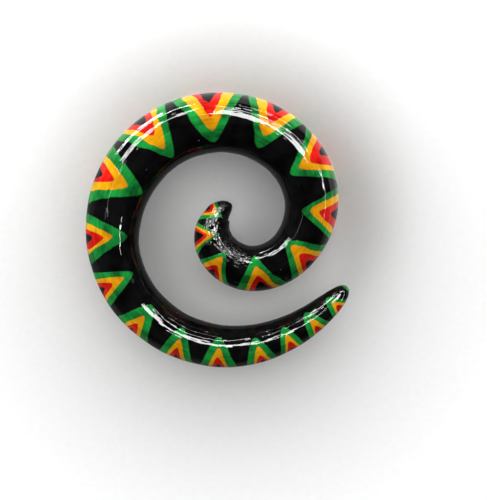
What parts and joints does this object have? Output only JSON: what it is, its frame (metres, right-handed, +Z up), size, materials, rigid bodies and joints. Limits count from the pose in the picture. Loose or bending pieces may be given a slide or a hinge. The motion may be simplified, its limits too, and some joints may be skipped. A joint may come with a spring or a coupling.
{
  "type": "spiral ear hanger",
  "caption": "Flat spiral ear hanger of round, tapering wood, painted with nested chevrons and lacquered; it is threaded tip first through a stretched ear lobe and hangs there.",
  "frame": {"origin": "under the middle of the coil's box, on the table that it lies on", "axes": "+Z up, square to the plane of the coil; X and Y across the coil, with the head's nose and the tip on the +X side of the turns that lead to them"},
  "size_m": [0.0436, 0.0454, 0.01],
  "materials": {
    "painted_wood": "hand-painted chevrons on black, under gloss lacquer"
  },
  "bodies": {
    "root": {"hanger": "painted_wood"}
  },
  "joints": []
}
